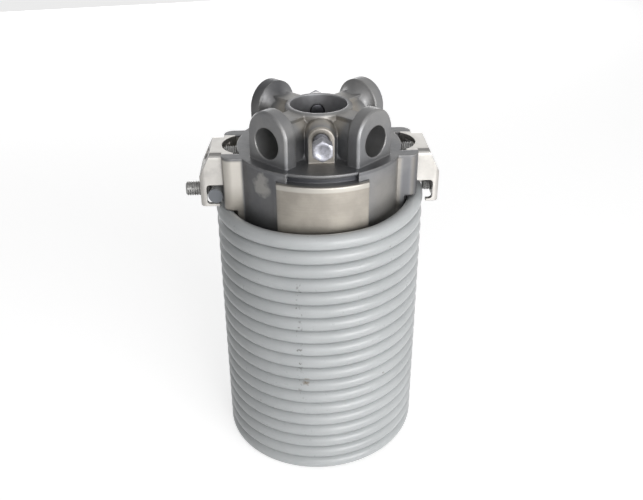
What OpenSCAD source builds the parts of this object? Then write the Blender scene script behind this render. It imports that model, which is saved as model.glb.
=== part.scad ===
// Torsion spring of a sectional garage door, at its winding end: the coiled spring wire, the cast
// winding plug with its shaft bore and four winding bar lugs, and the two folded clamps that hold
// the plug to the top turn of the wire.
//
// Frame: millimetres, +Z up along the door shaft. The origin is the centre of the shaft bore at the
// top face of the plug's hub. The front is -Y, and the clamps stand at -X (left) and +X (right).

/* [Spring] */
// Inside diameter of the coil
coil_id = 96; // [92:0.5:100]
// Diameter of the wire
wire_d = 7.9; // [6.5:0.1:8.3]
// Air between two turns of the closed coil
turn_gap = 0.1; // [0.05:0.05:0.5]
// Full turns below the top turn
turns = 18; // [8:1:40]
// Extra rise of the top turn where it leaves the closed coil
lift = 2.8; // [1.5:0.1:4]
// Angle before the right clamp over which the top turn lifts
lift_angle = 60; // [45:5:90]
// Angle before the left clamp where the wire leaves the coil straight
tail_angle = 10.5; // [10:0.5:12]
// Length of the straight wire end
tail_length = 22.3; // [18:0.1:22.5]

/* [Shaft and hub] */
// Diameter of the shaft bore
bore_d = 30; // [25.4:0.1:30.4]
// Outside diameter of the hub at its rim
rim_d = 35; // [34:0.5:38]
// Outside diameter of the hub at the flange
hub_foot_d = 46; // [42:0.5:50]
// Height of the hub above the flange
hub_height = 21.5; // [20:0.5:26]
// Height of the straight rim
rim_height = 4; // [2:0.5:6]
// Chamfer of the rim's edge
rim_edge = 1; // [0.5:0.1:1.5]
// Fillet at the foot of the hub
hub_fillet = 4; // [2:0.5:6]

/* [Winding lugs] */
// Number of winding lugs
lugs = 4; // [4:4:4]
// Width of a lug
lug_width = 26.5; // [25:0.5:29]
// Rise of the lug's round top above the socket axis
lug_rise = 3; // [1:0.1:3.5]
// Distance from the shaft axis to the face of a lug
lug_reach = 38; // [36:0.5:39]
// Thickness of a lug at its edge
lug_thickness = 7; // [5:0.5:9]
// Diameter of a winding bar socket
socket_d = 16.2; // [13:0.1:17]
// Depth of a winding bar socket
socket_depth = 17; // [12:0.5:18]
// Depth of the socket axis below the hub's top face
socket_drop = 11; // [10.5:0.1:11.5]
// Wall of the neck around a socket
neck_wall = 1.5; // [1.2:0.1:2]
// Width of the flat saddle on top of a neck
saddle_width = 11; // [9:0.5:12]
// Chamfer of a lug's face
lug_chamfer = 1; // [0.5:0.1:1.5]

/* [Front and rear bosses] */
// Distance from the shaft axis to the face of a boss
boss_reach = 28; // [26:0.5:30]
// Width of a boss at its face
boss_width = 13.2; // [12:0.1:14]
// Width of a boss at the hub
boss_foot_width = 16.2; // [15:0.1:17]
// Length of a boss's drafted end
boss_draft = 7; // [4:0.5:9]
// Depth of the screw axis below the hub's top face
boss_drop = 9.8; // [9:0.1:12]

/* [Drum] */
// Diameter of the flange over the drum
flange_d = 86.4; // [85:0.1:87.5]
// Thickness of the flange
flange_thickness = 1.6; // [1.2:0.1:2.4]
// Diameter of the undercut below the flange, in front and behind
undercut_d = 84; // [82:0.5:84.5]
// Width of the undercut
undercut_width = 35; // [30:0.5:42]
// Height of the undercut
undercut_height = 2.9; // [2:0.1:4]
// Clearance of the pads inside the coil, on the radius
pad_clear = 0.3; // [0.2:0.05:0.6]
// Depth of the drum's round between the pads below their face
drum_relief = 3.4; // [2.7:0.1:4]
// Chamfer at the drum's lower edge
pad_chamfer = 2.5; // [1.5:0.1:3]
// Width of the front and rear pads
pad_width = 45.6; // [40:0.2:48]
// Depth of the drum below the hub's top face
drum_depth = 85; // [75:1:110]
// Wall of the drum
drum_wall = 7.5; // [5:0.5:9]
// Outside diameter of the hub tube inside the drum
tube_d = 42; // [38:0.5:46]
// Thickness of the web across the top of the drum
web_thickness = 8.5; // [6:0.5:11]
// Thickness of the ribs inside the drum
rib_thickness = 5; // [3:0.5:8]
// Height of the ribs inside the drum
rib_height = 38; // [20:1:50]

/* [Clamp blocks] */
// Distance from the shaft axis to the end of a block
block_reach = 50.5; // [50:0.1:51]
// Width of a block
block_width = 40; // [38:0.5:42]
// Radius of the block's upright corners
block_corner = 5; // [3:0.5:6]
// Width of the pocket in a block
pocket_width = 26.4; // [26:0.1:27]
// Depth of the pocket in a block
pocket_depth = 11.5; // [10:0.5:13]
// Width of the lips over a pocket
lip_width = 6; // [5:0.5:7]

/* [Clamp brackets] */
// Thickness of the bracket sheet
sheet = 2.5; // [2:0.1:2.8]
// Width of a bracket
bracket_width = 26; // [25:0.1:26]
// Reach of a bracket's top strap from the shaft axis
strap_reach = 56.5; // [55.5:0.1:58]
// Depth of the tabs folded down behind a block's lips
tab_depth = 4.5; // [3:0.1:5]
// Gap between the wire and the outer face of a bracket's web
web_clear = 7.1; // [6.9:0.1:9]
// Height over which the outer web slopes outwards
slope_height = 13.5; // [10:0.5:16]
// Height of a bracket
bracket_height = 29.4; // [29:0.1:29.6]
// Radius of the arc cut out of the strap
notch_r = 14; // [12:0.5:16]
// Reach of the arc's deepest point from the shaft axis
notch_reach = 51; // [50:0.1:52]
// Width of the frame around the wire window at its outer side
window_frame = 3.5; // [3:0.1:4]
// Depth of the window's top below the strap
window_drop = 17.4; // [16:0.1:18]
// Depth of the clamp screw below the strap
clamp_drop = 24.6; // [24:0.1:25]
// Height of the arm below the window
arm_height = 1.2; // [1:0.1:2]
// Length of the slot in the sloped web
slot_length = 15; // [10:0.5:17]
// Width of the slot in the sloped web
slot_width = 5; // [4:0.1:6]

/* [Screws] */
// Thread diameter of every screw
screw_d = 8; // [6:0.1:8.4]
// Width across the flats of a hexagon head
head_af = 9.5; // [9:0.1:12]
// Height of a hexagon head
head_height = 6.5; // [5:0.1:8]
// Thread standing out between the front boss and its hexagon head
front_standoff = 7.5; // [2:0.1:10]
// Thread standing out between the rear boss and its hexagon head
rear_standoff = 1; // [0.5:0.1:2]
// Width across the flats of a hexagon socket
key_af = 4; // [3:0.1:4.5]
// Depth of a hexagon socket
key_depth = 4; // [3:0.1:5]
// Chamfer at both ends of a headless screw
tip_chamfer = 0.8; // [0.5:0.1:1]
// Length of the left clamp screw outside its bracket
left_clamp_screw = 8.5; // [2:0.5:12]
// Length of the right clamp screw outside its bracket
right_clamp_screw = 0.5; // [0.5:0.5:6]
// Radial air between a screw and its hole
thread_clear = 0.05; // [0.02:0.01:0.1]
// Air between pieces that seat on each other
seat_gap = 0.1; // [0.05:0.05:0.2]
// Air between the wire and what it passes
wire_gap = 0.3; // [0.25:0.05:0.5]

/* [Hidden] */

round_fn = 72;      // facets of large rounds
small_fn = 36;      // facets of screws, wire and sockets
eps = 0.01;         // overshoot of a cutting solid
far = 200;          // longer than anything it cuts

// Spring
wire_r = wire_d / 2;
bead_rise = 0.03;
bead_angle = 0.22;
coil_r = coil_id / 2 + wire_r;
pitch = wire_d + turn_gap;
top_rise = pitch / 2 + lift;
flange_z = -hub_height;
// Heights of the wire's centre: under the left clamp, at the right clamp and at the wire's end,
// which lies on the left clamp's arm
left_wire_z = flange_z - bracket_height - wire_gap - wire_r;
right_wire_z = left_wire_z + top_rise;
tail_z = flange_z - bracket_height + arm_height + wire_gap + wire_r;

// Winding lugs
lug_r = lug_width / 2;
neck_r = socket_d / 2 + neck_wall;
neck_start = lug_reach - socket_depth;
trumpet_u = lug_reach - lug_thickness - neck_start;
throat_sink = 0.3;  // how deep a trumpet's throat lies inside the neck
throat_r = neck_r - lug_rise - throat_sink;
trumpet_w = lug_r - throat_r;
trumpet_r = (pow(trumpet_u, 2) + pow(trumpet_w, 2)) / (2 * trumpet_w);
trumpet_angle = asin(trumpet_u / trumpet_r);
trumpet_steps = 8;
saddle_proud = 0.5; // how far a saddle stands over the neck
saddle_z = neck_r - socket_drop + saddle_proud;
saddle_reach = neck_start + trumpet_u * 3 / 4;

// Drum
pad_r = coil_id / 2 - pad_clear;
drum_r = pad_r - drum_relief;
drum_top_z = flange_z - flange_thickness - undercut_height;
// Undersides of the right block, of the left block over the wire's end and of the left block's foot,
// which starts where it passes the inner side of the wire's end
right_block_z = right_wire_z + wire_r + wire_gap;
tail_block_z = tail_z + wire_r + wire_gap;
foot_start = (block_reach * cos(tail_angle) - (coil_id / 2 - wire_gap)) / sin(tail_angle);
foot_z = left_wire_z + pitch * asin(block_width / 2 / block_reach) / 360 + wire_r + wire_gap;
side_screw_z = flange_z - screw_d / 2 - 1;
side_boss_r = screw_d;
tip_r = bore_d / 2 + wire_gap;
set_screw_length = boss_reach + rear_standoff - tip_r;

// Brackets
fold_r = sheet + 0.5;
fold_steps = 5;
tab_reach = block_reach - lip_width;
lip_reach = tab_reach + sheet + seat_gap;
half_bracket = bracket_width / 2;
web_reach = coil_r + wire_r + web_clear;
notch_x = notch_reach - notch_r;
horn_start = sqrt(pow(notch_r, 2) - pow(tab_reach + sheet - notch_x, 2));
bracket_bottom_z = flange_z - bracket_height;
left_arm_reach = 53;
right_arm_reach = coil_r + wire_r + wire_gap;
clamp_screw_z = flange_z - clamp_drop;
slope_angle = atan(slope_height / (web_reach - strap_reach));
plate_start = block_reach + seat_gap;
window_r = 1.8;
// Outer side of the wire at each clamp screw
tail_start_y = coil_r * sin(tail_angle);
tail_x = coil_r * cos(tail_angle) + tail_start_y * tan(tail_angle);
left_tip = tail_x + wire_r / cos(tail_angle) + (screw_d / 2 - tip_chamfer) * tan(tail_angle) + wire_gap;
right_tip = coil_r + wire_r + wire_gap;

// Points of an arc about the centre c, from the angle a0 to the angle a1
function arc(c, r, a0, a1, steps) =
    [for (i = [0:steps]) c + r * [cos(a0 + (a1 - a0) * i / steps), sin(a0 + (a1 - a0) * i / steps)]];

// Bead, a hair prouder than the wire, that joins two bends
module bead() {
    sphere(r = wire_r + bead_rise, $fn = small_fn);
}

// Bend of wire about the shaft axis from the angle a0 to the angle a1, that climbs by rise in one
// tilted plane, with a bead at its end; its children stand at that end, with +Y along the wire
module bend(a0, a1, rise) {
    half = (a1 - a0) / 2;
    tilt = atan(rise / 2 / coil_r / sin(half));
    reach = coil_r * sqrt(pow(cos(half), 2) + pow(sin(half) / cos(tilt), 2));
    sweep = atan2(sin(half) / cos(tilt), cos(half));
    translate([0, 0, rise / 2])
    rotate([0, 0, a0 + half])
    rotate([tilt, 0, 0]) {
        rotate([0, 0, -sweep])
        rotate_extrude(angle = 2 * (sweep - bead_angle), start = bead_angle, $fn = round_fn)
        translate([reach, 0]) circle(d = wire_d, $fn = small_fn);
        rotate([0, 0, sweep]) translate([reach, 0, 0]) {
            bead();
            children();
        }
    }
}

// The turn of wire that the plug is clamped to: closed at the front, lifted to the right clamp,
// round the back, then straight
module top_turn() {
    gap = coil_r * sin(bead_angle);
    lift_start = 360 - lift_angle;
    closed_rise = pitch * (180 - lift_angle) / 360;
    translate([0, 0, left_wire_z]) bend(180, lift_start, closed_rise);
    translate([0, 0, left_wire_z + closed_rise]) bend(lift_start, 360, top_rise - closed_rise);
    translate([0, 0, right_wire_z])
    bend(0, 180 - tail_angle, tail_z - right_wire_z)
    translate([0, gap, 0])
    rotate([-90, 0, 0])
    cylinder(d = wire_d, h = tail_length - gap, $fn = small_fn);
}

// Closed coil and the top turn
module torsion_spring() {
    color("silver") {
        for (i = [1:turns])
            translate([0, 0, left_wire_z - i * pitch]) {
                bend(180, 360, pitch / 2);
                translate([0, 0, pitch / 2]) bend(0, 180, pitch / 2);
            }
        top_turn();
    }
}

// Arch along +X: a half-width outline of [reach, half width] points, turned about the axis at the
// height z and dropped straight to the foot
module arch(outline, z, foot) {
    translate([0, 0, z])
    rotate([0, 90, 0])
    rotate_extrude($fn = round_fn)
    polygon([for (p = outline) [p[1], p[0]]]);
    flat = [for (i = [len(outline) - 2:-1:1]) [outline[i][0], -outline[i][1]]];
    translate([0, 0, foot]) linear_extrude(z - foot) polygon(concat(outline, flat));
}

// Winding lug towards +X: the thick plate with its trumpet, the neck that runs into the hub, and
// the flat saddle on the neck
module lug() {
    start = bore_d / 2 + neck_wall;
    plate = lug_reach - lug_thickness;
    trumpet = arc([neck_start, throat_r + trumpet_r], trumpet_r, -90 + trumpet_angle, -90, trumpet_steps);
    outline = concat([[lug_reach, 0], [lug_reach, lug_r - lug_chamfer], [lug_reach - lug_chamfer, lug_r]],
                     trumpet, [[start, throat_r], [start, 0]]);
    neck = [[plate + 1, 0], [plate + 1, neck_r], [start, neck_r], [start, 0]];
    arch(outline, lug_rise - socket_drop, flange_z - eps);
    arch(neck, -socket_drop, flange_z - eps);
    translate([start, -saddle_width / 2, -socket_drop])
    cube([saddle_reach - start, saddle_width, saddle_z + socket_drop]);
}

// Boss for a set screw, drafted from the hub to its face
module boss() {
    start = bore_d / 2 + neck_wall;
    draft_start = boss_reach - boss_draft;
    outline = [[boss_reach, 0], [boss_reach, boss_width / 2], [draft_start, boss_foot_width / 2],
               [start, boss_foot_width / 2], [start, 0]];
    arch(outline, -boss_drop, flange_z - eps);
}

// Hub above the flange: rim, cone and a fillet at its foot
module hub() {
    rim_r = rim_d / 2;
    foot_r = hub_foot_d / 2;
    rotate_extrude($fn = round_fn)
    polygon(concat([[0, flange_z - eps], [0, 0], [rim_r - rim_edge, 0], [rim_r, -rim_edge],
                    [rim_r, -rim_height]],
                   arc([foot_r + hub_fillet, flange_z + hub_fillet], hub_fillet, 180, 270, 6),
                   [[foot_r + hub_fillet, flange_z - eps]]));
}

// Solid of the drum out to the radius r, with a lead-in chamfer at its bottom
module drum_round(r, top) {
    rotate_extrude($fn = round_fn)
    polygon([[0, top], [r, top], [r, pad_chamfer - drum_depth], [r - pad_chamfer, -drum_depth],
             [0, -drum_depth]]);
}

// Upright block towards +X with rounded outer corners, from the height bottom up to the flange
module block(bottom) {
    w = block_width / 2;
    x = block_reach - block_corner;
    y = w - block_corner;
    translate([0, 0, bottom])
    linear_extrude(flange_z - bottom) {
        translate([0, -w]) square([x, block_width]);
        translate([0, -y]) square([block_reach, 2 * y]);
        for (s = [-1, 1]) translate([x, s * y]) circle(r = block_corner, $fn = small_fn);
    }
}

// Pocket in the top of a block, with lips that the bracket's tabs hook behind
module pocket() {
    floor_z = flange_z - pocket_depth;
    lip_top = flange_z - sheet - seat_gap;
    gate = 2 * (horn_start - 0.6);
    translate([0, -pocket_width / 2, floor_z]) cube([lip_reach, pocket_width, far]);
    translate([0, -gate / 2, floor_z]) cube([far, gate, far]);
    translate([0, -half_bracket - seat_gap, lip_top]) cube([far, bracket_width + 2 * seat_gap, far]);
}

// Hollow underside of the drum: four cells between the hub tube, the wall and the ribs
module drum_cells() {
    top = flange_z - web_thickness;
    difference() {
        translate([0, 0, -drum_depth - eps])
        cylinder(r = drum_r - drum_wall, h = drum_depth + top + eps, $fn = round_fn);
        translate([0, 0, -drum_depth - 1]) cylinder(d = tube_d, h = drum_depth, $fn = round_fn);
        for (a = [45:90:315])
            rotate([0, 0, a]) translate([0, -rib_thickness / 2, top - rib_height])
            cube([drum_r, rib_thickness, rib_height + 1]);
        for (a = [0, 180])
            rotate([0, 0, a]) translate([0, 0, side_screw_z]) rotate([0, 90, 0])
            cylinder(r = side_boss_r, h = drum_r, $fn = small_fn);
    }
}

// Outside of the drum: core, undercut below the flange, pads and clamp blocks with their pockets
module drum() {
    pad_w = pad_width / 2;
    difference() {
        union() {
            difference() {
                drum_round(drum_r, flange_z);
                translate([-undercut_width / 2, -far / 2, drum_top_z]) cube([undercut_width, far, far]);
            }
            intersection() {
                drum_round(pad_r, drum_top_z);
                union() {
                    translate([-pad_w, -far / 2, -far]) cube([pad_width, far, far]);
                    translate([-far / 2, -block_width / 2, -far]) cube([far, block_width, far]);
                }
            }
            block(right_block_z);
            rotate([0, 0, 180]) {
                block(tail_block_z);
                // Foot in front of the wire's end, down to the turn below it
                intersection() {
                    block(foot_z);
                    translate([0, foot_start, foot_z - 1]) cube(far);
                }
            }
        }
        for (a = [0, 180]) rotate([0, 0, a]) pocket();
    }
    translate([0, 0, drum_top_z - pocket_depth])
    cylinder(d = undercut_d, h = flange_z - drum_top_z + pocket_depth, $fn = round_fn);
    translate([0, 0, flange_z - flange_thickness]) cylinder(d = flange_d, h = flange_thickness, $fn = round_fn);
}

// Hole of a radial screw towards +X, from the bore outwards
module screw_hole(z) {
    translate([0, 0, z]) rotate([0, 90, 0]) cylinder(r = screw_d / 2 + thread_clear, h = far, $fn = small_fn);
}

// One casting: drum, hub, bosses and lugs
module winding_plug() {
    color("dimgray")
    difference() {
        union() {
            difference() {
                drum();
                drum_cells();
            }
            hub();
            for (a = [90, 270]) rotate([0, 0, a]) boss();
            for (i = [0:lugs - 1]) rotate([0, 0, 45 + i * 360 / lugs]) lug();
        }
        translate([0, 0, -drum_depth - 1]) cylinder(d = bore_d, h = drum_depth + 2, $fn = round_fn);
        for (i = [0:lugs - 1])
            rotate([0, 0, 45 + i * 360 / lugs]) translate([neck_start, 0, -socket_drop]) rotate([0, 90, 0])
            cylinder(d = socket_d, h = far, $fn = small_fn);
        for (a = [90, 270]) rotate([0, 0, a]) screw_hole(-boss_drop);
        for (a = [0, 180]) rotate([0, 0, a]) screw_hole(side_screw_z);
    }
}

// Hexagon head along +X with the chamfer of a turned corner
module hex_head() {
    corner_r = head_af / 2 / cos(30);
    bevel = 0.8;
    intersection() {
        rotate([0, 90, 0]) cylinder(r = corner_r, h = head_height, $fn = 6);
        rotate([0, 90, 0]) rotate_extrude($fn = small_fn)
        polygon([[0, 0], [corner_r + eps, 0], [corner_r + eps, head_height - bevel],
                 [head_af / 2 - eps, head_height], [0, head_height]]);
    }
}

// Hexagon headed set screw in a boss towards +X, with its head that far out of the boss
module set_screw(standoff) {
    head_x = boss_reach + standoff;
    color("lightsteelblue")
    translate([0, 0, -boss_drop]) {
        translate([head_x - set_screw_length, 0, 0]) rotate([0, 90, 0])
        cylinder(d = screw_d, h = set_screw_length + eps, $fn = small_fn);
        translate([head_x, 0, 0]) hex_head();
    }
}

// Headless screw along +X from the tip to the end, with a hexagon socket in its end
module grub_screw(tip, end) {
    r = screw_d / 2;
    difference() {
        rotate([0, 90, 0]) rotate_extrude($fn = small_fn)
        polygon([[0, tip], [r - tip_chamfer, tip], [r, tip + tip_chamfer], [r, end - tip_chamfer],
                 [r - tip_chamfer, end], [0, end]]);
        translate([end - key_depth, 0, 0]) rotate([0, 90, 0])
        cylinder(r = key_af / 2 / cos(30), h = key_depth + 1, $fn = 6);
    }
}

// Long screw that lies in a block's pocket and runs in to the shaft
module side_screw() {
    color("darkslategray") translate([0, 0, side_screw_z]) grub_screw(tip_r, block_reach - 0.5);
}

// Side view of a bracket's sheet, [reach, height] points: strap, slope and outer web
function sheet_side(inset) =
    let (strap = strap_reach - inset * tan((90 - (90 - slope_angle)) / 2),
         web = web_reach - inset,
         knee = flange_z - slope_height - inset * tan((90 - slope_angle) / 2))
    [[strap, flange_z - inset], [web, knee]];

// Solid that fills a bracket to the given inset from its outer faces
module bracket_solid(inset, start) {
    side = sheet_side(inset);
    w = half_bracket - inset;
    r = max(fold_r - inset, 0.4);
    top = flange_z - inset;
    web = web_reach - inset;
    bottom = bracket_bottom_z - inset;
    intersection() {
        rotate([90, 0, 0])
        linear_extrude(bracket_width + 2, center = true)
        polygon([[start, bottom], [web, bottom], side[1], side[0], [start, top]]);
        rotate([90, 0, 90])
        linear_extrude(far)
        polygon(concat([[w, bottom - 1], [w, top - r]], arc([w - r, top - r], r, 0, 90, fold_steps),
                       arc([r - w, top - r], r, 90, 180, fold_steps), [[-w, bottom - 1]]));
        translate([0, 0, bottom - 1])
        linear_extrude(far)
        polygon(concat([[0, -w], [web - r, -w]], arc([web - r, r - w], r, -90, 0, fold_steps),
                       arc([web - r, w - r], r, 0, 90, fold_steps), [[0, w]]));
    }
}

// Window in the front and rear plates, open towards the drum, above an arm that starts at arm_reach
module bracket_window(arm_reach) {
    outer = web_reach - window_frame;
    top = flange_z - window_drop;
    floor_z = bracket_bottom_z + arm_height;
    rotate([90, 0, 0])
    linear_extrude(far, center = true)
    polygon(concat([[0, top]], arc([outer - window_r, top - window_r], window_r, 90, 0, fold_steps),
                   arc([outer - window_r, floor_z + window_r], window_r, 0, -90, fold_steps),
                   [[arm_reach, floor_z], [arm_reach, bracket_bottom_z - 1], [0, bracket_bottom_z - 1]]));
}

// Folded sheet clamp towards +X
module clamp_bracket(arm_reach) {
    slope_mid = [(strap_reach + web_reach) / 2, flange_z - slope_height / 2];
    difference() {
        union() {
            difference() {
                bracket_solid(0, plate_start);
                bracket_solid(sheet, 0);
                bracket_window(arm_reach);
            }
            // Strap over the block's lips, and the tabs folded down behind them
            translate([tab_reach, -half_bracket, flange_z - sheet]) cube([plate_start - tab_reach + eps, bracket_width, sheet]);
            for (s = [-1, 1])
                translate([tab_reach, s > 0 ? horn_start : -half_bracket, flange_z - sheet - tab_depth])
                cube([sheet, half_bracket - horn_start, tab_depth + eps]);
        }
        translate([notch_x, 0, flange_z - sheet - tab_depth - 1])
        cylinder(r = notch_r, h = sheet + tab_depth + 2, $fn = round_fn);
        // Slot in the sloped web
        translate([slope_mid[0], 0, slope_mid[1]])
        rotate([0, 90 - slope_angle, 0]) {
            for (s = [-1, 1])
                translate([-sheet * 2, s * (slot_length - slot_width) / 2, 0]) rotate([0, 90, 0])
                cylinder(d = slot_width, h = sheet * 4, $fn = small_fn);
            translate([-sheet * 2, -(slot_length - slot_width) / 2, -slot_width / 2])
            cube([sheet * 4, slot_length - slot_width, slot_width]);
        }
        // Threaded hole of the clamp screw
        translate([web_reach - 2 * sheet, 0, clamp_screw_z]) rotate([0, 90, 0])
        cylinder(r = screw_d / 2 + thread_clear, h = 4 * sheet, $fn = small_fn);
    }
}

// Headless screw from the wire out through a bracket's web
module clamp_screw(tip, outside) {
    color("slategray") translate([0, 0, clamp_screw_z]) grub_screw(tip, web_reach + outside);
}

torsion_spring();
winding_plug();
rotate([0, 0, -90]) set_screw(front_standoff);  // front_set_screw
rotate([0, 0, 90]) set_screw(rear_standoff);  // rear_set_screw
rotate([0, 0, 180]) side_screw();  // left_side_screw
side_screw();  // right_side_screw
color("gainsboro") rotate([0, 0, 180]) clamp_bracket(left_arm_reach);  // left_clamp_bracket
color("gainsboro") clamp_bracket(right_arm_reach);  // right_clamp_bracket
rotate([0, 0, 180]) clamp_screw(left_tip, left_clamp_screw);
clamp_screw(right_tip, right_clamp_screw);
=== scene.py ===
import bmesh
import bpy
import math
from mathutils import Matrix, Vector


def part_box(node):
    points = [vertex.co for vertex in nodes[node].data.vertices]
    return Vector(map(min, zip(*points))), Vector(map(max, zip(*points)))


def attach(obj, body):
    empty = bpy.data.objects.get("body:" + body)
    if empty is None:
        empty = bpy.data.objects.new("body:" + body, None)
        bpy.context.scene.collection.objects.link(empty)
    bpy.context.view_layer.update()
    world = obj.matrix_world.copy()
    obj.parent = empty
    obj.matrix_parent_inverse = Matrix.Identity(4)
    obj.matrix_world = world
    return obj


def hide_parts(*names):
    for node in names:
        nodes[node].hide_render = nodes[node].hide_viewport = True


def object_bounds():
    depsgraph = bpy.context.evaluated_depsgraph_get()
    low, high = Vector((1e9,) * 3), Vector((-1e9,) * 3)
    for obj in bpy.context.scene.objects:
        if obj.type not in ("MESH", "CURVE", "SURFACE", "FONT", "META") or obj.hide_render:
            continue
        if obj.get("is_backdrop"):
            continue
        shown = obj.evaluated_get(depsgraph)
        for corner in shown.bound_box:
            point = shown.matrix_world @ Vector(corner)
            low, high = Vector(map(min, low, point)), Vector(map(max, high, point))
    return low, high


# Looks and studio for the garage door torsion spring. The coil, the plug and the two brackets are
# dressed as they are, and the six screws are built again with threads. Lengths are in metres.

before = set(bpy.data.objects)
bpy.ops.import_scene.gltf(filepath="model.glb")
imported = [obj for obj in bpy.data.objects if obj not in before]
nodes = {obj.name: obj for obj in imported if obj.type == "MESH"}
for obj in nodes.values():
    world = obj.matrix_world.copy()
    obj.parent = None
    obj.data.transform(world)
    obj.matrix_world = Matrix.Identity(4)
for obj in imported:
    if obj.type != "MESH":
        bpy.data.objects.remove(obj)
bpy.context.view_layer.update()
MM = 0.001


def mm(*lengths):
    """Millimetres as metres."""
    return tuple(length * MM for length in lengths)


def rgb(red, green, blue):
    """A linear colour."""
    return (red, green, blue, 1.0)


# ---------------------------------------------------------------- places on the object

# Each pair is a span from low to high, or a ramp over which a mask rises or falls. The letter at
# the end of a name says along which axis it lies, and R is the distance from the shaft's axis.

# The spring
MARKS_X = mm(-14.8, -11.6)                # a row of dirt marks down the front
MARKS_Y = mm(-20, -30)
MARKS_Z = mm(-150, -76)
BROWN_SPOT = mm(-10.4, -54.9, -137.0)
BROWN_EDGE = mm(1.0, 2.8)                 # from its middle outwards
TAIL_END = Vector(mm(-55.14, -12.46, -45.45))
TAIL_WAY = Vector((-0.182, -0.983, 0.0))  # the way that the tail points
TAIL_CUT = mm(-0.25, -0.10)               # the cut face, from the tail's end
TAIL_X = mm(-50.0, -50.5)
TAIL_Z = mm(-50.5, -50.0)

# The winding plug
BORE_WALL_R = mm(15.4, 15.1)
BORE_MOUTH_R = mm(15.2, 15.6)
BORE_LIP_R = mm(15.8, 16.2)
PAD_X = mm(-22.8, 22.8)                   # the front and rear pads
PAD_R = mm(45.2, 45.8)
PAD_Z = mm(-25.0, -25.8)
PAD_CHAMFER_Z = mm(-28.6, -25.9)
LEFT_BLOCK_X = mm(-50.0, -40.2)           # bright faces of the clamp blocks
# The next two spans are painted highlights on the right clamp block
RIGHT_HIGHLIGHT_X = mm(38.5, 41.2)
RIGHT_EDGE_HIGHLIGHT_X = mm(46.5, 48.5)
BLOCK_Y = mm(-22, 22)
BLOCK_Z = mm(-22.4, -23.0)
GROUND_Z = mm(-36, -46)                   # down the left block's face
BOSS_X = mm(-6.4, 6.4)                    # the front boss's face
BOSS_Y = mm(-29.0, -26.2)
CONE_R = mm(16.8, 24.0)
CONE_Z = mm(-10.5, -1.2)
DRUM_RIGHT_X = mm(20, 28)
DRUM_RIGHT_Z = mm(-23.5, -32.0)
DRUM_RIGHT_R = mm(42.0, 44.7)
UNDERCUT_Z = mm(-26.1, -23.1)             # the groove under the flange
UNDERCUT_R = mm(42.7, 42.2)
FLANGE_TOP_Z = mm(-23.2, -21.3)
FLANGE_TOP_R = mm(27, 30)
FLANGE_BELOW_Z = mm(-22.6, -23.2)
DRUM_LEFT_X = mm(-39.5, -22.5)
PALE_SPOT = mm(-30.2, -32.4, -30.5)     # on the left side of the drum
PALE_SPOT_EDGE = mm(3.5, 7.0)                # from its middle outwards
REAR_LUG_X = mm(-12, -20)                 # the rear left winding lug
REAR_LUG_Y = mm(10, 18)
REAR_LUG_Z = mm(-20, -16)
RIGHT_BLOCK_X = mm(41.8, 51.0)

# The set screws
HEAD_R = mm(35.1, 35.4)                   # where their heads begin


# ---------------------------------------------------------------- shader helpers

NOISE = (0.3, 0.7)       # between these lies most of what a noise gives
CLOUD = (0.35, 0.65)     # and between these it is spread more
SOFT = 0.3 * MM          # half the width of a mask's soft edge


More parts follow.
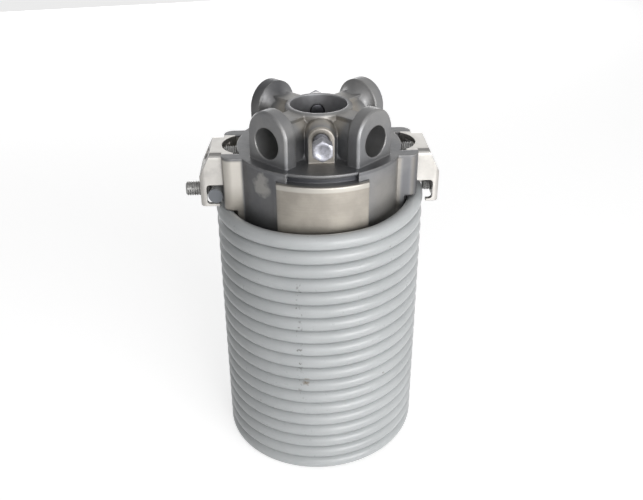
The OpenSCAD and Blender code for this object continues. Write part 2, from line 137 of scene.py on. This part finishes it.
class Graph:
    """A node tree, with short calls for the nodes used below. An input is a socket or a value."""

    def __init__(self, tree, space="Object"):
        self.tree = tree
        self.coords = self.node("ShaderNodeTexCoord", output=space)

    def link(self, source, target):
        if isinstance(source, (int, float, tuple)):
            target.default_value = source
        else:
            self.tree.links.new(source, target)

    def outputs(self, kind, inputs=None, **settings):
        n = self.tree.nodes.new(kind)
        for key, value in settings.items():
            setattr(n, key, value)
        for key, value in (inputs or {}).items():
            self.link(value, n.inputs[key])
        return n.outputs

    def node(self, kind, inputs=None, output=0, **settings):
        return self.outputs(kind, inputs, **settings)[output]

    def math(self, operation, a, b=0.0):
        return self.node("ShaderNodeMath", {0: a, 1: b}, operation=operation)

    def vector_math(self, operation, a, b):
        return self.node("ShaderNodeVectorMath", {0: a, 1: b}, "Value", operation=operation)

    def times(self, first, *others):
        for other in others:
            first = self.math("MULTIPLY", first, other)
        return first

    def most(self, first, *others):
        for other in others:
            first = self.math("MAXIMUM", first, other)
        return first

    def mix(self, factor, a, b, data_type="RGBA"):
        inputs = {"Factor": factor, "A": a, "B": b}
        return self.node("ShaderNodeMix", inputs, "Result", data_type=data_type)

    def blend(self, factor, a, b):
        return self.mix(factor, a, b, "FLOAT")

    def remap(self, value, ramp, to=(0.0, 1.0)):
        """The value spread over a ramp, and clamped at its ends."""
        inputs = {"Value": value, "From Min": ramp[0], "From Max": ramp[1],
                  "To Min": to[0], "To Max": to[1]}
        return self.node("ShaderNodeMapRange", inputs)

    def inside(self, value, span, soft=SOFT):
        """1 where the value lies in the span, with soft edges."""
        low, high = span
        return self.times(self.remap(value, (low - soft, low + soft)),
                          self.remap(value, (high - soft, high + soft), (1.0, 0.0)))

    def noise(self, scale, detail=3.0, rough=0.55, stretch=None):
        """Noise, its scale counted per metre, and stretched by a scale for each axis if given."""
        vector = self.coords
        if stretch:
            vector = self.node("ShaderNodeMapping", {"Vector": vector, "Scale": stretch})
        return self.node("ShaderNodeTexNoise", {"Vector": vector, "Scale": scale, "Detail": detail,
                                                "Roughness": rough})

    def speckle(self, scale, ramp):
        """1 in small round specks, one to each cell of the scale."""
        inputs = {"Vector": self.coords, "Scale": scale}
        return self.remap(self.node("ShaderNodeTexVoronoi", inputs, "Distance"), ramp, (1.0, 0.0))

    def place(self):
        """The place along X, Y and Z."""
        return self.outputs("ShaderNodeSeparateXYZ", {0: self.coords})

    def radius(self, x, y):
        """The distance from the shaft's axis."""
        return self.math("SQRT", self.math("ADD", self.times(x, x), self.times(y, y)))

    def spot(self, middle, ragged, scale):
        """The distance from a point, made ragged by noise so that a spot round it is uneven."""
        gap = self.vector_math("DISTANCE", self.coords, middle)
        return self.math("ADD", gap, self.remap(self.noise(scale), NOISE, (-ragged, ragged)))

    def bump(self, height, strength, distance, normal=None):
        inputs = {"Height": height, "Strength": strength, "Distance": distance}
        if normal is not None:
            inputs["Normal"] = normal
        return self.node("ShaderNodeBump", inputs)

    def own_normal(self):
        """The face's own normal."""
        return self.node("ShaderNodeNewGeometry", output="True Normal")

    def rounded(self, radius):
        """The normal of edges rounded to the radius."""
        return self.node("ShaderNodeBevel", {"Radius": radius}, samples=6)

    def edges(self, rounded):
        """1 on outer edges, from how far the rounded normal leaves the face's own."""
        same = self.vector_math("DOT_PRODUCT", rounded, self.own_normal())
        return self.remap(self.math("SUBTRACT", 1.0, same), (0.02, 0.2))

    def openness(self, distance):
        """1 in the open, towards 0 in corners and crevices."""
        return self.node("ShaderNodeAmbientOcclusion", {"Distance": distance}, "AO", samples=5)


class Surface(Graph):
    """A new material's node tree, round its Principled shader."""

    def __init__(self, name):
        self.material = bpy.data.materials.new(name)
        self.material.use_nodes = True
        super().__init__(self.material.node_tree)
        self.shader = self.tree.nodes["Principled BSDF"]

    def set(self, **inputs):
        for key, value in inputs.items():
            self.link(value, self.shader.inputs[key.replace("_", " ")])
        return self.material


# ---------------------------------------------------------------- materials

def spring_material():
    """Grey coating on wire, scuffed along its turns and flecked with dirt."""
    coat = rgb(0.41, 0.425, 0.43), rgb(0.46, 0.475, 0.48)
    coat_grain = rgb(0.30, 0.32, 0.33), rgb(0.60, 0.61, 0.62)
    fleck, scuffed, dirt = rgb(0.16, 0.14, 0.12), rgb(0.54, 0.56, 0.56), rgb(0.13, 0.12, 0.11)
    brown, shaded_bare_steel = rgb(0.17, 0.125, 0.08), rgb(0.155, 0.165, 0.18)

    g = Surface("coated_spring_wire")
    x, y, z = g.place()
    tone = g.mix(g.remap(g.noise(28.0, 4.0), CLOUD), *coat)
    grain = g.noise(1500.0, 2.0)
    tone = g.mix(0.10, tone, g.mix(grain, *coat_grain))
    chance = g.remap(g.noise(45.0, 1.0), (0.62, 0.66))
    tone = g.mix(g.times(g.speckle(130.0, (0.05, 0.09)), chance), tone, fleck)
    scuffs = g.noise(1.0, 5.0, 0.6, stretch=(60.0, 60.0, 900.0))
    tone = g.mix(g.remap(scuffs, (0.60, 0.70), (0.0, 0.25)), tone, scuffed)
    # A row of small dirt marks down the front, and one brown spot
    row = g.times(g.inside(x, MARKS_X), g.inside(z, MARKS_Z, 4 * MM), g.remap(y, MARKS_Y))
    marks = g.remap(g.noise(450.0, 3.0, 0.6), (0.56, 0.64), (0.0, 0.7))
    tone = g.mix(g.times(row, marks), tone, dirt)
    blot = g.spot(BROWN_SPOT, ragged=1.2 * MM, scale=500.0)
    tone = g.mix(g.remap(blot, BROWN_EDGE, (0.9, 0.0)), tone, brown)
    # The tail's cut end is bare steel, painted darker as the shade it lies in inside the bracket
    along = g.vector_math("DOT_PRODUCT", g.coords, tuple(TAIL_WAY))
    cut = g.remap(along, [TAIL_END.dot(TAIL_WAY) + step for step in TAIL_CUT])
    cut = g.times(cut, g.remap(x, TAIL_X), g.remap(z, TAIL_Z))
    tone = g.mix(cut, tone, shaded_bare_steel)
    rough = g.remap(g.noise(300.0), NOISE, (0.27, 0.38))
    fine = g.bump(grain, 0.10, 0.1 * MM)
    return g.set(Base_Color=tone, Metallic=0.0, Specular_IOR_Level=0.5, Roughness=rough,
                 Normal=fine)


def bright_faces(g, x, y, z, radius):
    """Where the casting is turned or ground, or painted lighter as light falls on it: the pads, the
    left block's face, and all together, where the last also holds painted highlights on the right
    block, the hub cone and the drum's right side.
    """
    pads = g.times(g.inside(x, PAD_X), g.remap(radius, PAD_R), g.remap(z, PAD_Z))
    left = g.inside(x, LEFT_BLOCK_X, 0.6 * MM)
    # Painted highlights: two lighter strips on the right block, at its rounded front corner and
    # near its outer edge
    right = g.most(g.inside(x, RIGHT_HIGHLIGHT_X, 0.6 * MM), g.inside(x, RIGHT_EDGE_HIGHLIGHT_X, 0.8 * MM))
    blocks = g.times(g.most(left, g.times(right, 0.6)), g.inside(y, BLOCK_Y), g.remap(z, BLOCK_Z))
    boss = g.times(g.inside(y, BOSS_Y), g.inside(x, BOSS_X))
    # Painted highlight: the hub cone is made lighter all round, standing in for the light on its
    # front
    cone = g.times(g.inside(radius, CONE_R, 2.0 * MM), g.inside(z, CONE_Z, 1.0 * MM))
    # Painted light on the drum's right side, which faces the light
    drum = g.times(g.remap(x, DRUM_RIGHT_X), g.remap(z, DRUM_RIGHT_Z),
                   g.inside(radius, DRUM_RIGHT_R))
    bright = g.most(pads, blocks)
    for face, share in ((boss, 0.85), (cone, 0.80), (drum, 0.35)):
        bright = g.most(bright, g.times(face, share))
    ground = g.times(left, blocks, g.remap(z, GROUND_Z, (0.6, 0.1)))
    return pads, ground, bright


def painted_shade(g, x, y, z, radius, openness, pale_spot):
    """Where the casting is painted darker as shade: in its corners and crevices, and on the rear
    left lug, the right block, the groove under the flange, the flange's top and the drum's left
    side, which is left out round one spot.
    """
    # Painted shade in corners and crevices, from how open the surface is
    shade = g.times(g.remap(openness, (0.15, 0.60), (0.40, 0.0)), g.remap(radius, BORE_MOUTH_R))
    below = g.remap(z, FLANGE_BELOW_Z)
    rear_lug = g.times(g.remap(x, REAR_LUG_X), g.remap(y, REAR_LUG_Y), g.remap(z, REAR_LUG_Z))
    right_block = g.times(g.inside(x, RIGHT_BLOCK_X, 0.8 * MM), below)
    undercut = g.times(g.inside(z, UNDERCUT_Z), g.remap(radius, UNDERCUT_R))
    flange_top = g.times(g.inside(z, FLANGE_TOP_Z), g.remap(radius, FLANGE_TOP_R))
    drum_left = g.times(g.inside(x, DRUM_LEFT_X, 2.0 * MM), below, g.remap(pale_spot, PALE_SPOT_EDGE))
    # Painted shade on faces: over a highlight on the rear left lug, between the right block's
    # highlights, in the groove under the flange, on the flange's top, and on the drum's left side,
    # away from the light
    for face, share in ((rear_lug, 0.70), (right_block, 0.35), (undercut, 0.90),
                        (flange_top, 0.35), (drum_left, 0.50)):
        shade = g.most(shade, g.times(face, share))
    return shade


def plug_material():
    """Dull die-cast metal, turned and ground in places, with painted highlights on some faces, wear
    and painted highlights on its outer edges, painted shade in its corners and on some faces, and a
    lighter spot.
    """
    cast = rgb(0.215, 0.217, 0.225), rgb(0.285, 0.282, 0.278)
    cast_grain = rgb(0.08, 0.08, 0.085), rgb(0.40, 0.40, 0.40)
    turned = rgb(0.33, 0.305, 0.268), rgb(0.40, 0.370, 0.325)
    stained, ground_face = rgb(0.22, 0.203, 0.180), rgb(0.66, 0.635, 0.590)
    lit_bore, shade_tone = rgb(0.52, 0.52, 0.54), rgb(0.05, 0.052, 0.060)
    pale_spot_tone = rgb(0.45, 0.43, 0.39)
    chamfer_highlight, edge = rgb(0.52, 0.50, 0.46), rgb(0.48, 0.47, 0.44)

    g = Surface("die_cast_plug")
    x, y, z = g.place()
    radius = g.radius(x, y)
    rounded = g.rounded(1.2 * MM)
    openness = g.openness(7 * MM)
    tone = g.mix(g.remap(g.noise(40.0, 4.0), (0.38, 0.62)), *cast)
    grain = g.noise(1900.0, 2.0, 0.6)
    tone = g.mix(0.10, tone, g.mix(grain, *cast_grain))
    # Turned and ground faces, and painted highlights, streaked and stained
    pads, ground, bright = bright_faces(g, x, y, z, radius)
    streaks = g.noise(1.0, 4.0, 0.6, stretch=(35.0, 35.0, 1400.0))
    stains = g.remap(g.noise(90.0, 4.0), (0.38, 0.62), (0.0, 0.40))
    tone = g.mix(bright, tone, g.mix(stains, g.mix(streaks, *turned), stained))
    tone = g.mix(ground, tone, ground_face)
    # The bore's wall is painted lighter, standing in for the light bounced round inside it
    tone = g.mix(g.remap(radius, BORE_WALL_R, (0.0, 0.6)), tone, lit_bore)
    # Painted shade, left out round one lighter spot
    pale_spot = g.spot(PALE_SPOT, ragged=3 * MM, scale=160.0)
    tone = g.mix(painted_shade(g, x, y, z, radius, openness, pale_spot), tone, shade_tone)
    # A lighter spot on the drum's left side, where the painted shade is left out
    patch = g.times(g.remap(pale_spot, PALE_SPOT_EDGE, (0.35, 0.0)), g.remap(z, FLANGE_BELOW_Z))
    tone = g.mix(patch, tone, pale_spot_tone)
    # A painted highlight along the pads' top chamfer
    tone = g.mix(g.times(pads, g.inside(z, PAD_CHAMFER_Z), 0.7), tone, chamfer_highlight)
    # Wear and painted highlights on the outer edges, away from the bore's lip
    wear_and_highlight = g.times(g.edges(rounded), g.remap(g.noise(240.0), (0.30, 0.55)),
                   g.remap(openness, (0.70, 0.90)), g.remap(radius, BORE_LIP_R))
    tone = g.mix(g.times(wear_and_highlight, 0.4), tone, edge)
    lumps = g.noise(420.0)
    rough = g.blend(bright, g.remap(lumps, NOISE, (0.40, 0.50)), 0.38)
    fine = g.bump(grain, 0.15, 0.1 * MM, g.bump(lumps, 0.12, 0.3 * MM, rounded))
    return g.set(Base_Color=tone, Metallic=0.8, Roughness=rough, Normal=fine)


def bracket_material():
    """Plated sheet, with painted light on its upward faces, and painted shade in its corners, on
    its slopes and bends and along its edges.
    """
    sheet = rgb(0.50, 0.484, 0.458), rgb(0.60, 0.582, 0.553)
    stained, corner_shade, upward = rgb(0.30, 0.29, 0.28), rgb(0.10, 0.10, 0.10), rgb(0.92, 0.90, 0.86)
    slope_shade, edge = rgb(0.12, 0.12, 0.12), rgb(0.20, 0.20, 0.20)

    g = Surface("zinc_sheet")
    rounded = g.rounded(0.4 * MM)
    tone = g.mix(g.remap(g.noise(60.0, 4.0), CLOUD), *sheet)
    tone = g.mix(g.remap(g.noise(90.0, 4.0, 0.6), (0.52, 0.66), (0.0, 0.35)), tone, stained)
    # Painted shade in the corners and crevices
    tone = g.mix(g.remap(g.openness(6 * MM), (0.15, 0.60), (0.7, 0.0)), tone, corner_shade)
    normal_x, normal_y, normal_z = g.outputs("ShaderNodeSeparateXYZ", {0: g.own_normal()})
    sideways = g.most(g.math("ABSOLUTE", normal_x), g.math("ABSOLUTE", normal_y))
    # Painted light on the upward faces
    tone = g.mix(g.remap(normal_z, (0.95, 0.99), (0.0, 0.35)), tone, upward)
    # Painted shade on the slopes and bends
    tone = g.mix(g.remap(g.times(sideways, normal_z), (0.20, 0.38), (0.0, 0.65)), tone, slope_shade)
    # Painted shade along the edges
    tone = g.mix(g.times(g.edges(rounded), 0.55), tone, edge)
    rough = g.remap(g.noise(260.0), NOISE, (0.34, 0.48))
    grain = g.bump(g.noise(1.0, 3.0, 0.6, stretch=(1500.0, 260.0, 1500.0)), 0.10, 0.1 * MM, rounded)
    return g.set(Base_Color=tone, Metallic=0.9, Roughness=rough, Normal=grain)


def screw_material(name, plating, gloss, shade_below_r=None):
    """Plated steel with dirt on it, and with painted shade on the shank below the radius given, if
    one is given.
    """
    dirt, shank_shade = rgb(0.10, 0.10, 0.10), rgb(0.06, 0.06, 0.065)

    g = Surface(name)
    tone = g.mix(g.remap(g.noise(160.0, 4.0), CLOUD), *plating)
    tone = g.mix(g.remap(g.noise(620.0), (0.48, 0.66), (0.0, 0.5)), tone, dirt)
    # Painted shade on the shank below the head, in the bosses and the bore
    if shade_below_r:
        x, y, _ = g.place()
        tone = g.mix(g.remap(g.radius(x, y), shade_below_r, (0.5, 0.0)), tone, shank_shade)
    rough = g.remap(g.noise(700.0), NOISE, gloss)
    grain = g.bump(g.noise(2200.0, 2.0), 0.10, 0.05 * MM)
    return g.set(Base_Color=tone, Metallic=1.0, Roughness=rough, Normal=grain)


spring_mat = spring_material()
plug_mat = plug_material()
bracket_mat = bracket_material()
bright_zinc = rgb(0.27, 0.273, 0.305), rgb(0.40, 0.403, 0.440)
dull_zinc = rgb(0.38, 0.378, 0.372), rgb(0.52, 0.517, 0.51)
zinc_mat = screw_material("bright_zinc", bright_zinc, (0.36, 0.50), HEAD_R)
screw_mat = screw_material("dull_zinc", dull_zinc, (0.34, 0.50))

LOOKS = {
    "torsion_spring": spring_mat,
    "winding_plug": plug_mat,
    "left_clamp_bracket": bracket_mat,
    "right_clamp_bracket": bracket_mat,
}
for name, material in LOOKS.items():
    node = nodes[name]
    node.data.materials.clear()
    node.data.materials.append(material)


# ---------------------------------------------------------------- screws

SCREW_R = 4.0 * MM
THREAD_PITCH = 1.25 * MM
THREAD_DEPTH = 0.62 * MM
THREAD_FLANK = 0.85                            # share of half a pitch that a flank takes
CORE_R = SCREW_R - THREAD_DEPTH - 0.1 * MM     # the plain ends of the shank
TIP_CHAMFER = 0.3 * MM
LEAD_IN = 0.9 * MM                             # over which the thread rises at an end
AROUND = 72                                    # points in each ring
PER_THREAD = 10                                # rings in each pitch

HEAD_AF = 9.5 * MM
HEAD_HEIGHT = 6.5 * MM
HEAD_BEVEL = 0.12 * MM
HEAD_FOOT = 0.35 * MM                          # how far the head is drawn in at its foot
HEAD_CROWN = math.tan(math.radians(30))        # slope of the chamfer on the head's corners
FACE_R = 0.955 * HEAD_AF / 2                   # the head's round face, inside that chamfer
FACE_ROUND = 0.05 * MM
FACE_RIM = 0.35 * MM
DISH_R = 0.72 * FACE_R                         # the hollow in the face, at its top
DISH_FLOOR_R = 0.62 * FACE_R                   # and at its floor
DISH_DEPTH = 0.25 * MM

KEY_AF = 4.0 * MM
KEY_DEPTH = 4.0 * MM
KEY_RIM = 0.35 * MM                            # width of the chamfer round the socket
KEY_CHAMFER = 0.25 * MM                        # and its depth

SHARP_ANGLE = math.radians(32)                 # edges sharper than this aren't smoothed


def hexagon(across_flats, angle):
    """How far out a hexagon's side lies at the angle."""
    return across_flats / 2 / math.cos(angle % (math.pi / 3) - math.pi / 6)


def thread_radius(along, angle):
    """How far out a right-hand thread's flank lies."""
    phase = (along / THREAD_PITCH - angle / math.tau) % 1.0
    rise = 1.0 - abs(2.0 * phase - 1.0)
    return SCREW_R - THREAD_DEPTH * (1.0 - min(1.0, rise / THREAD_FLANK))


def lead_in(distance):
    """The radius that the thread may have at this distance from an end of the shank."""
    return CORE_R + (SCREW_R - CORE_R) * min(1.0, distance / LEAD_IN)


def shank_rings(shank, headed):
    """Rings as pairs: how far along the screw a point lies and how far out, both by its angle."""
    yield lambda a: 0.0, lambda a: CORE_R - TIP_CHAMFER
    steps = max(2, round(shank / THREAD_PITCH * PER_THREAD))
    for i in range(1, steps):
        along = shank * i / steps
        cap = lead_in(along) if headed else min(lead_in(along), lead_in(shank - along))
        yield lambda a: along, lambda a: min(cap, thread_radius(along, a))


def head_rings(shank, length):
    """A hexagon head with a chamfered, slightly hollow face."""
    def side(a):
        return hexagon(HEAD_AF, a + math.pi / 6)

    yield lambda a: shank, lambda a: CORE_R
    yield lambda a: shank, lambda a: FACE_R
    yield lambda a: shank, lambda a: side(a) - HEAD_FOOT
    yield lambda a: shank + 2 * HEAD_BEVEL, side
    yield lambda a: length - max(0.0, side(a) - FACE_R) * HEAD_CROWN - HEAD_BEVEL, side
    yield lambda a: length - 0.3 * HEAD_BEVEL, lambda a: FACE_R - FACE_ROUND
    yield lambda a: length, lambda a: FACE_R - FACE_RIM
    yield lambda a: length, lambda a: DISH_R
    yield lambda a: length - DISH_DEPTH, lambda a: DISH_FLOOR_R


def socket_rings(length):
    """A flat end with a hexagon socket."""
    def side(a):
        return hexagon(KEY_AF, a)

    yield lambda a: length, lambda a: CORE_R
    yield lambda a: length, lambda a: side(0.0) + KEY_RIM
    yield lambda a: length - KEY_CHAMFER, side
    yield lambda a: length - KEY_DEPTH, side


def screw(node, material, direction, headed):
    """A screw that fills its CAD solid's box along the direction, and replaces it."""
    low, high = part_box(node)
    direction = Vector(direction)
    half = abs((high - low).dot(direction)) / 2
    length = 2 * half
    shank = length - HEAD_HEIGHT if headed else length
    origin = (low + high) / 2 - direction * half
    up = Vector((0, 0, 1))
    side = up.cross(direction)

    bm = bmesh.new()
    rings = []
    ends = head_rings(shank, length) if headed else socket_rings(length)
    for part in (shank_rings(shank, headed), ends):
        for along_at, radius_at in part:
            ring = []
            for i in range(AROUND):
                a = math.tau * i / AROUND
                spoke = (side * math.cos(a) + up * math.sin(a)) * radius_at(a)
                ring.append(bm.verts.new(origin + (direction * along_at(a) + spoke)))
            rings.append(ring)
    for first, second in zip(rings, rings[1:]):
        for i in range(AROUND):
            j = (i + 1) % AROUND
            bm.faces.new((first[i], first[j], second[j], second[i]))
    bm.faces.new(list(reversed(rings[0])))
    bm.faces.new(rings[-1])
    bmesh.ops.recalc_face_normals(bm, faces=bm.faces)

    mesh = bpy.data.meshes.new(node + "_threaded")
    bm.to_mesh(mesh)
    bm.free()
    mesh.materials.append(material)
    for polygon in mesh.polygons:
        polygon.use_smooth = True
    piece = bpy.data.objects.new(node + "_threaded", mesh)
    bpy.context.scene.collection.objects.link(piece)
    mesh.set_sharp_from_angle(angle=SHARP_ANGLE)
    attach(piece, "root")
    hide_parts(node)
    return piece


for name, way in (("front", (0, -1, 0)), ("rear", (0, 1, 0))):
    piece = screw(name + "_set_screw", zinc_mat, way, headed=True)
for name, way in (("left", (-1, 0, 0)), ("right", (1, 0, 0))):
    for kind in ("side", "clamp"):
        piece = screw(f"{name}_{kind}_screw", screw_mat, way, headed=False)


# ---------------------------------------------------------------- studio

WHITE = rgb(1, 1, 1)
ZENITH = 0.55             # the backdrop overhead, where the horizon is 1
AMBIENT = 0.30            # the soft light from all around
FAR_SIDE = 0.40           # how much of both is left on the side away from the window
FLOOR_HALF = 6.0
FLOOR_WHITE = 0.60        # what makes the lit floor white to the camera
FLOOR_GLOW = 0.66         # and in the metal
FLOOR_GLOW_LEFT = 0.30    # and in the metal's left side
FLOOR_GLOW_X = (-0.30, 0.02)

low, high = (Vector(corner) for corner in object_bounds())
middle = (low + high) / 2

floor_mesh = bpy.data.meshes.new("floor")
corners = [(x * FLOOR_HALF, y * FLOOR_HALF, low.z) for x, y in ((-1, -1), (1, -1), (1, 1), (-1, 1))]
floor_mesh.from_pydata(corners, [], [(0, 1, 2, 3)])
floor = bpy.data.objects.new("floor", floor_mesh)
bpy.context.scene.collection.objects.link(floor)
g = Surface("pale_floor")
path = g.outputs("ShaderNodeLightPath")
mirrored = g.times(g.most(path["Is Glossy Ray"], path["Is Transmission Ray"]),
                   g.remap(g.place()["X"], FLOOR_GLOW_X, (FLOOR_GLOW_LEFT, FLOOR_GLOW)))
glow = g.math("ADD", mirrored, g.times(path["Is Camera Ray"], FLOOR_WHITE))
floor_mesh.materials.append(g.set(Base_Color=rgb(0.75, 0.75, 0.75), Roughness=0.9,
                                  Specular_IOR_Level=0.1, Emission_Color=WHITE,
                                  Emission_Strength=glow))
floor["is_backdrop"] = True

# The camera sees white. Mirror and glass rays see it too, less overhead and less on the left, as
# in a room with its window on the right, and so does the soft light.
world = bpy.data.worlds.new("studio")
bpy.context.scene.world = world
world.use_nodes = True
g = Graph(world.node_tree, "Generated")
path = g.outputs("ShaderNodeLightPath")
way = g.place()
overhead = g.remap(way["Z"], (0.5, 1.0), (1.0, ZENITH))
strength = g.blend(path["Is Glossy Ray"], AMBIENT, overhead)
strength = g.blend(path["Is Transmission Ray"], strength, overhead)
strength = g.times(strength, g.remap(way["X"], (-0.9, 0.0), (FAR_SIDE, 1.0)))
background = g.tree.nodes["Background"]
g.link(g.blend(path["Is Camera Ray"], strength, 1.0), background.inputs["Strength"])
g.link(WHITE, background.inputs["Color"])


def outward(azimuth, elevation):
    """The way from the object to a lamp or the camera; azimuths go from the front rightwards."""
    a, e = math.radians(azimuth), math.radians(elevation)
    return Vector((math.sin(a) * math.cos(e), -math.cos(a) * math.cos(e), math.sin(e)))


LAMPS = (
    # name, azimuth, elevation, distance, (width, height), power in watts
    ("key_light", 29, 9, 1.2, (0.8, 0.5), 10.5),
    ("front_fill", 0, 24, 1.1, (0.8, 0.5), 2.5),
    ("top_light", 10, 75, 1.2, (1.0, 1.0), 1.2),
    ("back_light", 190, 4, 1.2, (1.4, 0.4), 5.0),
)
for name, azimuth, elevation, distance, size, power in LAMPS:
    data = bpy.data.lights.new(name, "AREA")
    data.shape = "RECTANGLE"
    data.size, data.size_y = size
    data.energy = power
    lamp = bpy.data.objects.new(name, data)
    bpy.context.scene.collection.objects.link(lamp)
    offset = outward(azimuth, elevation) * distance
    lamp.location = middle + offset
    lamp.rotation_euler = (-offset).to_track_quat("-Z", "Y").to_euler()


# ---------------------------------------------------------------- camera

AIM = Vector(mm(1.1, 0, -86.8))
DISTANCE = 447.7 * MM
ELEVATION = 29.6
AZIMUTH = -2.65
ROLL = -0.3
FOCAL_PX = 788.0          # the focal length in pixels of a frame this wide
FRAME_PX = 643.0
SENSOR = 36.0             # in millimetres, as Blender has it

camera_data = bpy.data.cameras.new("camera")
camera_data.sensor_width = SENSOR
camera_data.lens = FOCAL_PX / FRAME_PX * SENSOR
camera_data.clip_start = 0.01
camera = bpy.data.objects.new("camera", camera_data)
bpy.context.scene.collection.objects.link(camera)
azimuth, roll = math.radians(AZIMUTH), math.radians(ROLL)
back = outward(AZIMUTH, ELEVATION)
level = Vector((math.cos(azimuth), math.sin(azimuth), 0.0))
upright = back.cross(level)
right = level * math.cos(roll) + upright * math.sin(roll)
upward = upright * math.cos(roll) - level * math.sin(roll)
turn = Matrix((right, upward, back)).transposed().to_4x4()
camera.matrix_world = Matrix.Translation(AIM + back * DISTANCE) @ turn
bpy.context.scene.camera = camera
bpy.context.scene.view_settings.view_transform = "Standard"
